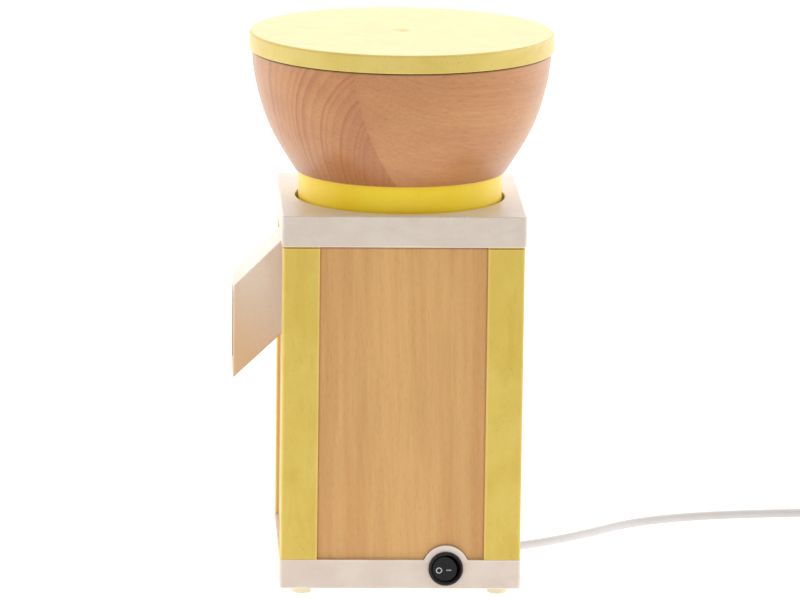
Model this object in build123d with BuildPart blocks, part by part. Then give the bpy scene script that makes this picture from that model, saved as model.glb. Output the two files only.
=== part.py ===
from build123d import *
import math
import os

# Electric grain mill: a square upright housing with the motor inside, a stone
# milling chamber under its top plate, a slanted flour spout at the front and a
# turned wooden hopper with a lid on top.
#
# Frame: +Z up, Z = 0 on the surface the feet stand on, the mill's axis is X = Y = 0.
# The spout points to -Y, the switch is on the +X side, the cord lies behind (+Y).

os.makedirs("parts", exist_ok=True)

# ---------------------------------------------------------------- driving sizes
BODY = 160.0            # square over the corner posts
POST_W = 24.4           # width of a post on each face
RECESS = 2.2            # how far the panels sit behind the posts' faces
PANEL_T = 8.0
GROOVE = 6.0            # depth of the panel grooves in the posts
BASE_W = 160.8
PLATE_W = 162.0
FOOT_H = 5.5
FOOT_R = 6.75
FOOT_XY = 65.5
BASE_H = 19.7
POST_H = 212.1
PLATE_H = 20.8
RING_SHOWS = 17.7       # height of the yellow collar between plate and bowl
BOWL_H = 80.3
LID_H = 13.2

Z_BASE = FOOT_H                       # underside of the base
Z_POST = Z_BASE + BASE_H              # 25.2  posts and panels stand here
Z_PLATE = Z_POST + POST_H             # 237.3 underside of the top plate
Z_TOP = Z_PLATE + PLATE_H             # 258.1 top of the top plate
Z_BOWL = Z_TOP + RING_SHOWS           # 275.8 underside of the bowl
Z_LID = Z_BOWL + BOWL_H               # 356.1 rim of the bowl
Z_END = Z_LID + LID_H                 # 369.3 top of the lid

HALF = BODY / 2
P_OUT = HALF - RECESS                 # 77.8 outer face of a panel
P_IN = P_OUT - PANEL_T                # 69.8 inner face of a panel
P_MID = (P_OUT + P_IN) / 2
POST_C = HALF - POST_W / 2            # centre of a post
POST_E = HALF - POST_W                # 55.6 inner edge of a post

HOLE_R = 70.3           # hole in the top plate
RING_R = 68.3           # outside of the hopper collar
NECK_R = 61.6           # root radius of the chamber's threaded neck
THREAD_R = 62.0         # crest radius of that thread
SKIRT_R = 62.4          # bore of the collar's skirt
THREAD_PITCH = 3.0

STONE_R = 42.5
Z_FLOOR0, Z_FLOOR1 = 184.0, 192.0     # chamber floor
CUP_RI, CUP_RO = 56.0, 62.0           # chamber wall
Z_LOWER0, Z_GAP0 = 199.0, 214.0       # lower stone
Z_GAP1, Z_UPPER1 = 214.4, 236.5       # upper stone
Z_LEDGE = 224.0                       # shelf that carries pins and springs
PIN_PCR = 48.5

SHAFT_R = 5.95
BEARING_R = 16.0
STATOR_RO, STATOR_RI, ROTOR_R = 54.0, 31.5, 31.0
Z_CORE0, Z_CORE1 = 96.0, 160.0

LID_R = 101.9
BOWL_OUT = [(70.5, 0.0), (78.5, 12.6), (86.9, 27.5), (93.0, 42.8),
            (97.1, 58.0), (99.3, 70.0), (100.2, 80.3)]     # radius, height
BOWL_IN = [(20.0, 10.5), (42.0, 14.0), (64.0, 27.0), (78.5, 45.0),
           (86.0, 63.0), (89.2, 80.3)]

SW_Y, SW_Z = 30.3, 19.5               # switch axis on the +X side
BOSS_R = 15.6
SW_TIP = 7.0                          # rocker tilt either side of the middle, degrees

CORD_R = 3.0
GLAND = Vector(-22.0, 37.0, 14.0)     # inner end of the cable channel
CH_HEAD = 33.4                        # channel heading from +Y towards -X, degrees
CH_DIP = 15.0                         # how far the strain relief points down, degrees
CH_W = 12.0

COIL_X, COIL_Y = -121.0, 352.0
COIL_R0, COIL_R1 = 24.0, 42.0
COIL_Z0, COIL_Z1 = 1.0, 12.2


def finish(bp, label):
    """Label a finished sub-part and write it."""
    bp.part.label = label
    export_step(bp.part, "parts/" + label + ".step")


# ============================================================ housing
head = Vector(-math.sin(math.radians(CH_HEAD)), math.cos(math.radians(CH_HEAD)), 0)
side = Vector(-head.Y, head.X, 0)
dip = math.radians(CH_DIP)
relief_dir = Vector(head.X * math.cos(dip), head.Y * math.cos(dip), -math.sin(dip))
chan_plane = Plane(origin=(GLAND.X, GLAND.Y, Z_BASE), x_dir=head, z_dir=(0, 0, 1))
chan_cut = Plane(origin=(GLAND.X, GLAND.Y, 0), x_dir=(-head.Y, head.X, 0), z_dir=head)
relief_plane = Plane(origin=GLAND, x_dir=(head.Y, -head.X, 0), z_dir=relief_dir)

# base tray: floor, walls, corner blocks under the posts, boss for the switch and
# a covered channel in which the cord leaves under the rear edge
with BuildPart() as base_tray:
    with BuildSketch(Plane.XY.offset(Z_BASE)):
        RectangleRounded(BASE_W, BASE_W, 2.6)
    extrude(amount=BASE_H)
    with BuildSketch(Plane.XY.offset(Z_BASE + 4.0)):
        Rectangle(142, 142)
        with Locations(*[(sx * 66.4, sy * 66.4) for sx in (-1, 1) for sy in (-1, 1)]):
            Rectangle(28, 28, mode=Mode.SUBTRACT)
    extrude(amount=BASE_H, mode=Mode.SUBTRACT)
    # boss round the switch, flush with the base's face
    with BuildSketch(Plane.YZ.offset(66.0)):
        with Locations((SW_Y, SW_Z)):
            Circle(BOSS_R)
        with Locations((SW_Y, Z_BASE - 10 + 2)):
            Rectangle(60, 20, mode=Mode.SUBTRACT)
    extrude(amount=BASE_W / 2 - 66.0)
    chamfer(base_tray.faces().filter_by(Axis.Z).sort_by(Axis.Z)[0].outer_wire().edges(), length=0.7)
    with BuildSketch(Plane.YZ.offset(60.0)):
        with Locations((SW_Y, SW_Z)):
            Circle(10.1)
    extrude(amount=24.0, mode=Mode.SUBTRACT)
    # block over the cable channel, then the channel itself
    with BuildSketch(chan_plane):
        with Locations((17.0, 0)):
            Rectangle(46.0, 20.0)
    extrude(amount=17.0)
    with BuildSketch(chan_cut):
        with Locations((0, 3.0)):
            Rectangle(CH_W, 18.0)
        with Locations((0, 12.0)):
            Circle(CH_W / 2)
    extrude(amount=64.0, mode=Mode.SUBTRACT)
    with BuildSketch(relief_plane.offset(-12.0)):
        Circle(4.0)
    extrude(amount=16.0, mode=Mode.SUBTRACT)
    with BuildSketch(relief_plane):
        Circle(5.6)
    extrude(amount=12.0, mode=Mode.SUBTRACT)
    with BuildSketch(relief_plane.offset(-4.2)):
        Circle(6.8)
    extrude(amount=-10.0, mode=Mode.SUBTRACT)
    # screw holes through the corner blocks, cooling slots in the floor
    with BuildSketch(Plane.XY.offset(Z_BASE)):
        with GridLocations(2 * FOOT_XY, 2 * FOOT_XY, 2, 2):
            Circle(2.2)
        with Locations((14, -6)):
            with GridLocations(0, 9, 1, 7):
                SlotOverall(56, 4)
    extrude(amount=BASE_H, mode=Mode.SUBTRACT)
finish(base_tray, "base_tray")

# feet with a counterbore for their screw
with BuildPart() as feet:
    with GridLocations(2 * FOOT_XY, 2 * FOOT_XY, 2, 2):
        Cylinder(FOOT_R, FOOT_H, align=(Align.CENTER, Align.CENTER, Align.MIN))
    fillet(feet.edges().group_by(Axis.Z)[0], radius=0.9)
    with BuildSketch(Plane.XY):
        with GridLocations(2 * FOOT_XY, 2 * FOOT_XY, 2, 2):
            Circle(4.0)
    extrude(amount=3.2, mode=Mode.SUBTRACT)
    with BuildSketch(Plane.XY):
        with GridLocations(2 * FOOT_XY, 2 * FOOT_XY, 2, 2):
            Circle(2.2)
    extrude(amount=FOOT_H, mode=Mode.SUBTRACT)
finish(feet, "feet")

# long screws through foot and base into the posts
with BuildPart() as base_screws:
    with BuildSketch(Plane.XY.offset(1.2)):
        with GridLocations(2 * FOOT_XY, 2 * FOOT_XY, 2, 2):
            Circle(3.7)
    extrude(amount=2.0)
    with BuildSketch(Plane.XY.offset(1.2)):
        with GridLocations(2 * FOOT_XY, 2 * FOOT_XY, 2, 2):
            Rectangle(5.0, 0.9)
            Rectangle(0.9, 5.0)
    extrude(amount=1.1, mode=Mode.SUBTRACT)
    with BuildSketch(Plane.XY.offset(3.2)):
        with GridLocations(2 * FOOT_XY, 2 * FOOT_XY, 2, 2):
            Circle(2.0)
    extrude(amount=56.8)
finish(base_screws, "base_screws")

# four corner posts, each grooved on two sides for the panels
for sx, sy, name in ((1, -1, "front_right"), (-1, -1, "front_left"),
                     (1, 1, "rear_right"), (-1, 1, "rear_left")):
    with BuildPart() as post:
        with BuildSketch(Plane.XY.offset(Z_POST)):
            with Locations((sx * POST_C, sy * POST_C)):
                Rectangle(POST_W, POST_W)
            with Locations((sx * P_MID, sy * (POST_E + GROOVE / 2))):
                Rectangle(PANEL_T, GROOVE, mode=Mode.SUBTRACT)
            with Locations((sx * (POST_E + GROOVE / 2), sy * P_MID)):
                Rectangle(GROOVE, PANEL_T, mode=Mode.SUBTRACT)
        extrude(amount=POST_H)
        outer = post.edges().filter_by(Axis.Z).filter_by(
            lambda e: abs(abs(e.center().X) - HALF) < 0.01 and abs(abs(e.center().Y) - HALF) < 0.01)
        fillet(outer, radius=2.2)
        rims = post.edges().filter_by(Axis.Z).filter_by(
            lambda e: (abs(abs(e.center().X) - HALF) < 0.01) != (abs(abs(e.center().Y) - HALF) < 0.01)
            and min(abs(e.center().X), abs(e.center().Y)) < POST_E + 0.1)
        fillet(rims, radius=0.8)
        # shadow gap under the top plate
        with BuildSketch(Plane.XY.offset(Z_PLATE - 1.2)):
            Rectangle(BODY + 8, BODY + 8)
            Rectangle(BODY - 2.6, BODY - 2.6, mode=Mode.SUBTRACT)
        extrude(amount=1.2, mode=Mode.SUBTRACT)
        with BuildSketch(Plane.XY.offset(Z_POST)):
            with Locations((sx * FOOT_XY, sy * FOOT_XY)):
                Circle(2.0)
        extrude(amount=36.0, mode=Mode.SUBTRACT)
        with BuildSketch(Plane.XY.offset(Z_PLATE - 16.0)):
            with Locations((sx * FOOT_XY, sy * FOOT_XY)):
                Circle(4.0)
        extrude(amount=16.0, mode=Mode.SUBTRACT)
    finish(post, "corner_post_" + name)

# four panels, tongued into the posts
PW = 2 * (POST_E + GROOVE - 0.2)
with BuildPart() as right_panel:
    with BuildSketch(Plane.YZ.offset(P_IN)):
        with Locations((0, Z_POST + POST_H / 2)):
            Rectangle(PW, POST_H)
        with Locations((SW_Y, SW_Z)):
            Circle(BOSS_R + 0.3, mode=Mode.SUBTRACT)
    extrude(amount=PANEL_T)
finish(right_panel, "right_panel")

with BuildPart() as left_panel:
    with BuildSketch(Plane.YZ.offset(-P_OUT)):
        with Locations((0, Z_POST + POST_H / 2)):
            Rectangle(PW, POST_H)
    extrude(amount=PANEL_T)
finish(left_panel, "left_panel")

with BuildPart() as rear_panel:
    with BuildSketch(Plane.XZ.offset(-P_OUT)):
        with Locations((0, Z_POST + POST_H / 2)):
            Rectangle(PW, POST_H)
    extrude(amount=PANEL_T)
finish(rear_panel, "rear_panel")

# ---- spout: a slanted chute with a collar that passes through the front panel
SP_W, TAIL_W, CH_IN = 50.0, 48.0, 42.0
TAIL_Z1 = 220.0
OUTLET_Y = -62.3
with BuildPart() as front_panel:
    with BuildSketch(Plane.XZ.offset(P_IN)):
        with Locations((0, Z_POST + POST_H / 2)):
            Rectangle(PW, POST_H)
        with Locations((0, (169.3 + TAIL_Z1 + 0.2) / 2)):
            Rectangle(TAIL_W + 0.4, TAIL_Z1 + 0.2 - 169.3, mode=Mode.SUBTRACT)
        with Locations((-15, 225.6), (15, 225.6)):
            Circle(1.9, mode=Mode.SUBTRACT)
    extrude(amount=PANEL_T)
finish(front_panel, "front_panel")

with BuildPart() as flour_spout:
    with BuildSketch(Plane.YZ.offset(-SP_W / 2)):
        with BuildLine():
            Polyline((-111.5, 200.0), (-77.8, 233.4), (-77.8, 168.9), (-111.5, 137.0), close=True)
        make_face()
    extrude(amount=SP_W)
    long_edges = flour_spout.edges().filter_by(
        lambda e: abs(abs(e.center().X) - SP_W / 2) < 0.01 and e.length > 40
        and e.center().Y < -80)
    fillet(long_edges, radius=1.2)
    with BuildSketch(Plane.YZ.offset(-TAIL_W / 2)):
        with BuildLine():
            Polyline((-78.5, 169.6), (-62.3, 184.6), (-62.3, TAIL_Z1), (-78.5, TAIL_Z1), close=True)
        make_face()
    extrude(amount=TAIL_W)
    with BuildSketch(Plane.YZ.offset(-CH_IN / 2)):
        with BuildLine():
            Polyline((-113.0, 141.1), (-61.0, 190.3), (-61.0, 216.0), (-84.0, 216.0),
                     (-84.0, 222.0), (-113.0, 193.2), close=True)
        make_face()
    extrude(amount=CH_IN, mode=Mode.SUBTRACT)
    with BuildSketch(Plane.XZ.offset(P_OUT)):
        with Locations((-15, 225.6), (15, 225.6)):
            Circle(1.5)
    extrude(amount=4.2, mode=Mode.SUBTRACT)
finish(flour_spout, "flour_spout")

with BuildPart() as spout_screws:
    with BuildSketch(Plane.XZ.offset(P_IN - 2.0)):
        with Locations((-15, 225.6), (15, 225.6)):
            Circle(3.2)
    extrude(amount=2.0)
    with BuildSketch(Plane.XZ.offset(P_IN)):
        with Locations((-15, 225.6), (15, 225.6)):
            Circle(1.5)
    extrude(amount=PANEL_T + 3.8)
finish(spout_screws, "spout_screws")

# ---- top plate with the round hole for the hopper collar
with BuildPart() as top_plate:
    with BuildSketch(Plane.XY.offset(Z_PLATE)):
        RectangleRounded(PLATE_W, PLATE_W, 2.6)
    extrude(amount=PLATE_H)
    chamfer(top_plate.faces().filter_by(Axis.Z).sort_by(Axis.Z)[0].outer_wire().edges(), length=1.0)
    fillet(top_plate.faces().filter_by(Axis.Z).sort_by(Axis.Z)[-1].outer_wire().edges(), radius=0.9)
    with BuildSketch(Plane.XY.offset(Z_PLATE)):
        Circle(HOLE_R)
    extrude(amount=PLATE_H, mode=Mode.SUBTRACT)
    fillet(top_plate.edges().filter_by(GeomType.CIRCLE).filter_by(
        lambda e: abs(e.radius - HOLE_R) < 0.01).sort_by(Axis.Z)[-1], radius=0.6)
    with BuildSketch(Plane.XY.offset(Z_PLATE)):
        with GridLocations(2 * FOOT_XY, 2 * FOOT_XY, 2, 2):
            Circle(4.0)
    extrude(amount=14.0, mode=Mode.SUBTRACT)
    with BuildSketch(Plane.XY.offset(Z_PLATE)):
        with GridLocations(128, 96, 2, 2):
            Circle(2.0)
    extrude(amount=12.0, mode=Mode.SUBTRACT)
finish(top_plate, "top_plate")

with BuildPart() as post_dowels:
    with BuildSketch(Plane.XY.offset(Z_PLATE - 16.0)):
        with GridLocations(2 * FOOT_XY, 2 * FOOT_XY, 2, 2):
            Circle(4.0)
    extrude(amount=29.5)
finish(post_dowels, "post_dowels")

# ============================================================ milling chamber
with BuildPart() as milling_chamber:
    with BuildSketch(Plane.XZ):
        with BuildLine():
            Polyline((8.0, Z_FLOOR0), (CUP_RO, Z_FLOOR0), (CUP_RO, 225.3), (67.3, 225.3),
                     (67.3, 231.3), (CUP_RI, 231.3), (CUP_RI, Z_FLOOR1), (14.0, Z_FLOOR1),
                     (14.0, 186.0), (8.0, 186.0), close=True)
        make_face()
    revolve(axis=Axis.Z)
    # outlet nozzle towards the spout
    with BuildSketch(Plane.XY.offset(Z_FLOOR0)):
        with Locations((0, (OUTLET_Y - 50.0) / 2)):
            Rectangle(TAIL_W, -50.0 - OUTLET_Y)
    extrude(amount=222.0 - Z_FLOOR0)
    with BuildSketch(Plane.XY.offset(Z_FLOOR1)):
        Circle(CUP_RI)
    extrude(amount=231.3 - Z_FLOOR1, mode=Mode.SUBTRACT)
    with BuildSketch(Plane.XZ.offset(50.0)):
        with Locations((0, 204.0)):
            Rectangle(38.0, 24.0)
    extrude(amount=20.0, mode=Mode.SUBTRACT)
    with BuildSketch(Plane.XY.offset(225.3)):
        with PolarLocations(64.6, 6):
            Circle(1.7)
    extrude(amount=6.0, mode=Mode.SUBTRACT)
    with BuildSketch(Plane.XY.offset(Z_FLOOR0)):
        with PolarLocations(36.0, 4):
            Circle(2.2)
    extrude(amount=8.0, mode=Mode.SUBTRACT)
    with BuildSketch(Plane.XY.offset(189.6)):
        with PolarLocations(36.0, 4):
            Circle(3.9)
    extrude(amount=3.0, mode=Mode.SUBTRACT)
finish(milling_chamber, "milling_chamber")

# cover: flange screwed under the top plate, threaded neck for the collar, and the
# spigot with the shelf that carries the guide pins
with BuildPart() as chamber_cover:
    with BuildSketch(Plane.XZ):
        with BuildLine():
            Polyline((44.5, 218.0), (55.9, 218.0), (55.9, 231.3), (NECK_R, 231.3),
                     (NECK_R, 262.0), (58.8, 262.0), (58.8, 235.3), (52.9, 235.3),
                     (52.9, Z_LEDGE), (44.5, Z_LEDGE), close=True)
        make_face()
    revolve(axis=Axis.Z)
    with BuildSketch(Plane.XY.offset(231.3)):
        Rectangle(138.8, 138.8)
        Circle(60.0, mode=Mode.SUBTRACT)
        with Locations(*[(a * 66.4, b * 66.4) for a in (-1, 1) for b in (-1, 1)]):
            Rectangle(22.6, 22.6, mode=Mode.SUBTRACT)
    extrude(amount=6.0)
    for k in range(6):
        z = 242.5 + THREAD_PITCH * k
        with BuildSketch(Plane.XZ):
            with BuildLine():
                Polyline((NECK_R - 0.5, z), (THREAD_R, z + 0.5), (THREAD_R, z + 1.1),
                         (NECK_R - 0.5, z + 1.6), close=True)
            make_face()
        revolve(axis=Axis.Z)
    with BuildSketch(Plane.XY.offset(218.0)):
        with PolarLocations(PIN_PCR, 3, start_angle=30):
            Circle(2.5)
    extrude(amount=6.0, mode=Mode.SUBTRACT)
    with BuildSketch(Plane.XY.offset(231.3)):
        with PolarLocations(64.6, 6):
            Circle(1.5)
        with GridLocations(128, 96, 2, 2):
            Circle(2.2)
    extrude(amount=6.0, mode=Mode.SUBTRACT)
finish(chamber_cover, "chamber_cover")

with BuildPart() as chamber_screws:
    with BuildSketch(Plane.XY.offset(222.6)):
        with PolarLocations(64.6, 6):
            Circle(2.6)
    extrude(amount=2.7)
    with BuildSketch(Plane.XY.offset(225.3)):
        with PolarLocations(64.6, 6):
            Circle(1.5)
    extrude(amount=11.7)
finish(chamber_screws, "chamber_screws")

with BuildPart() as cover_screws:
    with BuildSketch(Plane.XY.offset(229.0)):
        with GridLocations(128, 96, 2, 2):
            Circle(3.6)
    extrude(amount=2.3)
    with BuildSketch(Plane.XY.offset(231.3)):
        with GridLocations(128, 96, 2, 2):
            Circle(2.0)
    extrude(amount=17.5)
finish(cover_screws, "cover_screws")

with BuildPart() as guide_pins:
    with BuildSketch(Plane.XY.offset(218.0)):
        with PolarLocations(PIN_PCR, 3, start_angle=30):
            Circle(2.5)
    extrude(amount=29.0)
finish(guide_pins, "guide_pins")

with BuildPart() as shaft_seal:
    with BuildSketch(Plane.XY.offset(186.0)):
        Circle(14.0)
        Circle(6.03, mode=Mode.SUBTRACT)
    extrude(amount=4.0)
finish(shaft_seal, "shaft_seal")

# ---- upper stone on its sprung carrier (slides on the guide pins)
with BuildPart() as stone_carrier:
    with BuildSketch(Plane.XZ):
        with BuildLine():
            Polyline((18.5, Z_UPPER1), (58.2, Z_UPPER1), (58.2, 242.5), (40.0, 242.5),
                     (40.0, 264.8), (36.0, 264.8), (36.0, 242.5), (18.5, 242.5), close=True)
        make_face()
    revolve(axis=Axis.Z)
    with BuildSketch(Plane.XY.offset(Z_UPPER1)):
        with PolarLocations(PIN_PCR, 3, start_angle=30):
            Circle(2.56)
    extrude(amount=6.0, mode=Mode.SUBTRACT)
finish(stone_carrier, "stone_carrier")

with BuildPart() as upper_stone:
    with BuildSketch(Plane.XY.offset(Z_GAP1)):
        Circle(STONE_R)
        Circle(14.0, mode=Mode.SUBTRACT)
    extrude(amount=Z_UPPER1 - Z_GAP1)
    chamfer(upper_stone.edges().filter_by(GeomType.CIRCLE).filter_by(
        lambda e: abs(e.radius - 14.0) < 0.01).sort_by(Axis.Z)[0], length=4.0)
    with BuildSketch(Plane.XY.offset(Z_GAP1)):
        with PolarLocations(27.0, 10):
            Rectangle(24.0, 2.0)
    extrude(amount=1.0, mode=Mode.SUBTRACT)
finish(upper_stone, "upper_stone")

# compression springs round the guide pins, between the shelf and the carrier
with BuildPart() as carrier_springs:
    for k in range(3):
        a = math.radians(30 + 120 * k)
        cx, cy = PIN_PCR * math.cos(a), PIN_PCR * math.sin(a)
        with BuildLine() as coil_line:
            Helix(pitch=2.8, height=11.2, radius=3.5, center=(cx, cy, Z_LEDGE + 0.65))
        with BuildSketch(Plane(origin=coil_line.line @ 0, z_dir=coil_line.line % 0)):
            Circle(0.45)
        sweep(path=coil_line.line, is_frenet=True)
finish(carrier_springs, "carrier_springs")

# ---- lower stone, hub with sweeping arms and nut (turn with the motor shaft)
with BuildPart() as lower_stone:
    with BuildSketch(Plane.XY.offset(Z_LOWER0)):
        Circle(STONE_R)
        Circle(4.3, mode=Mode.SUBTRACT)
    extrude(amount=Z_GAP0 - Z_LOWER0)
    with BuildSketch(Plane.XY.offset(206.0)):
        Circle(12.0)
    extrude(amount=10.0, mode=Mode.SUBTRACT)
    with BuildSketch(Plane.XY.offset(Z_GAP0 - 1.0)):
        with PolarLocations(27.0, 10):
            Rectangle(24.0, 2.0)
    extrude(amount=1.0, mode=Mode.SUBTRACT)
finish(lower_stone, "lower_stone")

with BuildPart() as stone_hub:
    with BuildSketch(Plane.XY.offset(194.0)):
        Circle(30.0)
    extrude(amount=Z_LOWER0 - 194.0)
    with BuildSketch(Plane.XY.offset(193.4)):
        with PolarLocations(40.0, 3, start_angle=90):
            Rectangle(29.0, 7.0)
    extrude(amount=3.4)
    with BuildSketch(Plane.XY.offset(193.4)):
        with PolarLocations(50.0, 3, start_angle=90):
            Rectangle(7.6, 7.0)
    extrude(amount=14.0)
    with BuildSketch(Plane.XY.offset(190.0)):
        Circle(SHAFT_R)
    extrude(amount=12.0, mode=Mode.SUBTRACT)
finish(stone_hub, "stone_hub")

with BuildPart() as stone_nut:
    with BuildSketch(Plane.XY.offset(206.0)):
        RegularPolygon(6.5, 6, major_radius=False)
        Circle(4.0, mode=Mode.SUBTRACT)
    extrude(amount=5.5)
finish(stone_nut, "stone_nut")

# ============================================================ motor
with BuildPart() as motor_shaft:
    with BuildSketch(Plane.XZ):
        with BuildLine():
            Polyline((0, 54.0), (5.0, 54.0), (SHAFT_R, 55.0), (SHAFT_R, 92.0), (8.0, 92.0),
                     (8.0, 164.0), (SHAFT_R, 164.0), (SHAFT_R, Z_LOWER0), (4.0, Z_LOWER0),
                     (4.0, 213.0), (3.4, 213.6), (0, 213.6), close=True)
        make_face()
    revolve(axis=Axis.Z)
finish(motor_shaft, "motor_shaft")

with BuildPart() as rotor_core:
    with BuildSketch(Plane.XY.offset(98.0)):
        Circle(ROTOR_R)
        Circle(8.0, mode=Mode.SUBTRACT)
    extrude(amount=60.0)
finish(rotor_core, "rotor_core")

with BuildPart() as rotor_end_rings:
    for z in (92.0, 158.0):
        with BuildSketch(Plane.XY.offset(z)):
            Circle(29.0)
            Circle(18.0, mode=Mode.SUBTRACT)
        extrude(amount=6.0)
finish(rotor_end_rings, "rotor_end_rings")

with BuildPart() as stator_core:
    with BuildSketch(Plane.XY.offset(Z_CORE0)):
        Circle(STATOR_RO)
        Circle(STATOR_RI, mode=Mode.SUBTRACT)
        with PolarLocations(40.0, 24):
            Rectangle(12.0, 4.6, mode=Mode.SUBTRACT)
    extrude(amount=Z_CORE1 - Z_CORE0)
finish(stator_core, "stator_core")

with BuildPart() as stator_windings:
    with BuildSketch(Plane.XY.offset(Z_CORE0)):
        with PolarLocations(40.0, 24):
            Rectangle(11.4, 4.0)
    extrude(amount=Z_CORE1 - Z_CORE0)
    for z0, z1 in ((84.5, Z_CORE0), (Z_CORE1, 171.5)):
        with BuildSketch(Plane.XY.offset(z0)):
            Circle(49.5)
            Circle(34.0, mode=Mode.SUBTRACT)
        extrude(amount=z1 - z0)
    fillet(stator_windings.edges().filter_by(GeomType.CIRCLE).group_by(Axis.Z)[0], radius=3.0)
    fillet(stator_windings.edges().filter_by(GeomType.CIRCLE).group_by(Axis.Z)[-1], radius=3.0)
finish(stator_windings, "stator_windings")

LUG_R = 58.0
with BuildPart() as motor_upper_shield:
    with BuildSketch(Plane.XZ):
        with BuildLine():
            Polyline((8.2, Z_FLOOR0), (55.0, Z_FLOOR0), (55.0, Z_CORE1), (51.5, Z_CORE1),
                     (51.5, 178.0), (20.0, 178.0), (20.0, 166.0), (BEARING_R, 166.0),
                     (BEARING_R, 176.0), (8.2, 176.0), close=True)
        make_face()
    revolve(axis=Axis.Z)
    with BuildSketch(Plane.XY.offset(172.0)):
        with PolarLocations(LUG_R, 4, start_angle=45):
            Circle(5.0)
        Circle(53.0, mode=Mode.SUBTRACT)
    extrude(amount=12.0)
    with BuildSketch(Plane.XY.offset(172.0)):
        with PolarLocations(LUG_R, 4, start_angle=45):
            Circle(2.0)
    extrude(amount=12.0, mode=Mode.SUBTRACT)
    with BuildSketch(Plane.XY.offset(178.0)):
        with PolarLocations(36.0, 4):
            Circle(2.0)
    extrude(amount=6.0, mode=Mode.SUBTRACT)
finish(motor_upper_shield, "motor_upper_shield")

with BuildPart() as motor_lower_shield:
    with BuildSketch(Plane.XZ):
        with BuildLine():
            Polyline((8.2, 72.0), (55.0, 72.0), (55.0, Z_CORE0), (51.5, Z_CORE0), (51.5, 78.0),
                     (20.0, 78.0), (20.0, 90.0), (BEARING_R, 90.0), (BEARING_R, 80.0),
                     (8.2, 80.0), close=True)
        make_face()
    revolve(axis=Axis.Z)
    with BuildSketch(Plane.XY.offset(72.0)):
        with PolarLocations(LUG_R, 4, start_angle=45):
            Circle(5.0)
        Circle(53.0, mode=Mode.SUBTRACT)
    extrude(amount=10.0)
    with BuildSketch(Plane.XY.offset(72.0)):
        with PolarLocations(LUG_R, 4, start_angle=45):
            Circle(2.2)
    extrude(amount=10.0, mode=Mode.SUBTRACT)
    with BuildSketch(Plane.XY.offset(72.0)):
        with PolarLocations(36.0, 8, start_angle=22.5):
            SlotOverall(18, 6)
    extrude(amount=6.0, mode=Mode.SUBTRACT)
finish(motor_lower_shield, "motor_lower_shield")

for name, z in (("upper_bearing", 166.0), ("lower_bearing", 80.0)):
    with BuildPart() as bearing:
        with BuildSketch(Plane.XZ):
            with BuildLine():
                Polyline((6.0, z), (9.0, z), (9.4, z + 0.8), (12.6, z + 0.8), (13.0, z),
                         (BEARING_R, z), (BEARING_R, z + 10), (13.0, z + 10),
                         (12.6, z + 9.2), (9.4, z + 9.2), (9.0, z + 10), (6.0, z + 10), close=True)
            make_face()
        revolve(axis=Axis.Z)
    finish(bearing, name)

with BuildPart() as motor_through_bolts:
    with BuildSketch(Plane.XY.offset(68.5)):
        with PolarLocations(LUG_R, 4, start_angle=45):
            RegularPolygon(3.5, 6, major_radius=False)
    extrude(amount=3.5)
    with BuildSketch(Plane.XY.offset(72.0)):
        with PolarLocations(LUG_R, 4, start_angle=45):
            Circle(2.0)
    extrude(amount=111.0)
finish(motor_through_bolts, "motor_through_bolts")

with BuildPart() as motor_mount_screws:
    with BuildSketch(Plane.XY.offset(189.6)):
        with PolarLocations(36.0, 4):
            Circle(3.8)
    extrude(amount=2.2)
    with BuildSketch(Plane.XY.offset(179.0)):
        with PolarLocations(36.0, 4):
            Circle(2.0)
    extrude(amount=10.6)
finish(motor_mount_screws, "motor_mount_screws")

with BuildPart() as cooling_fan:
    with BuildSketch(Plane.XY.offset(57.0)):
        Circle(11.0)
    extrude(amount=10.0)
    with BuildSketch(Plane.XY.offset(57.0)):
        Circle(43.0)
    extrude(amount=1.6)
    with BuildSketch(Plane.XY.offset(57.0)):
        with PolarLocations(26.0, 8):
            Rectangle(32.0, 1.8, rotation=18)
    extrude(amount=10.0)
    with BuildSketch(Plane.XY.offset(57.0)):
        Circle(SHAFT_R)
    extrude(amount=10.0, mode=Mode.SUBTRACT)
finish(cooling_fan, "cooling_fan")

# ============================================================ electrical parts
CAP_X, CAP_Z = -41.0, 26.2
with BuildPart() as run_capacitor:
    with BuildSketch(Plane.XZ.offset(38.0)):
        with Locations((CAP_X, CAP_Z)):
            Circle(15.0)
    extrude(amount=-58.0)
    fillet(run_capacitor.edges(), radius=1.2)
    with BuildSketch(Plane.XZ.offset(38.0)):
        with Locations((CAP_X - 4, CAP_Z), (CAP_X + 4, CAP_Z)):
            Rectangle(0.8, 6.0)
    extrude(amount=9.0)
finish(run_capacitor, "run_capacitor")

with BuildPart() as capacitor_clip:
    with BuildSketch(Plane.XZ.offset(15.0)):
        with Locations((CAP_X, CAP_Z)):
            Circle(16.4)
        with Locations((CAP_X - 3, Z_BASE + 4.0 + 0.8)):
            Rectangle(40.0, 1.6)
        with Locations((CAP_X, CAP_Z)):
            Circle(15.0, mode=Mode.SUBTRACT)
        with Locations((CAP_X, Z_BASE + 2.0)):
            Rectangle(60.0, 4.0, mode=Mode.SUBTRACT)
    extrude(amount=-12.0)
finish(capacitor_clip, "capacitor_clip")

with BuildPart() as terminal_block:
    with BuildSketch(Plane.XY.offset(Z_BASE + 4.0)):
        with Locations((30.0, 56.0)):
            Rectangle(40.0, 18.0)
    extrude(amount=7.0)
    with BuildSketch(Plane.XY.offset(Z_BASE + 11.0)):
        with Locations((30.0, 56.0)):
            with GridLocations(12.5, 0, 3, 1):
                Rectangle(10.0, 14.0)
    extrude(amount=6.5)
    with BuildSketch(Plane.XY.offset(Z_BASE + 11.0)):
        with Locations((30.0, 56.0)):
            with GridLocations(12.5, 8.0, 3, 2):
                Circle(2.1)
    extrude(amount=6.5, mode=Mode.SUBTRACT)
finish(terminal_block, "terminal_block")

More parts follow.
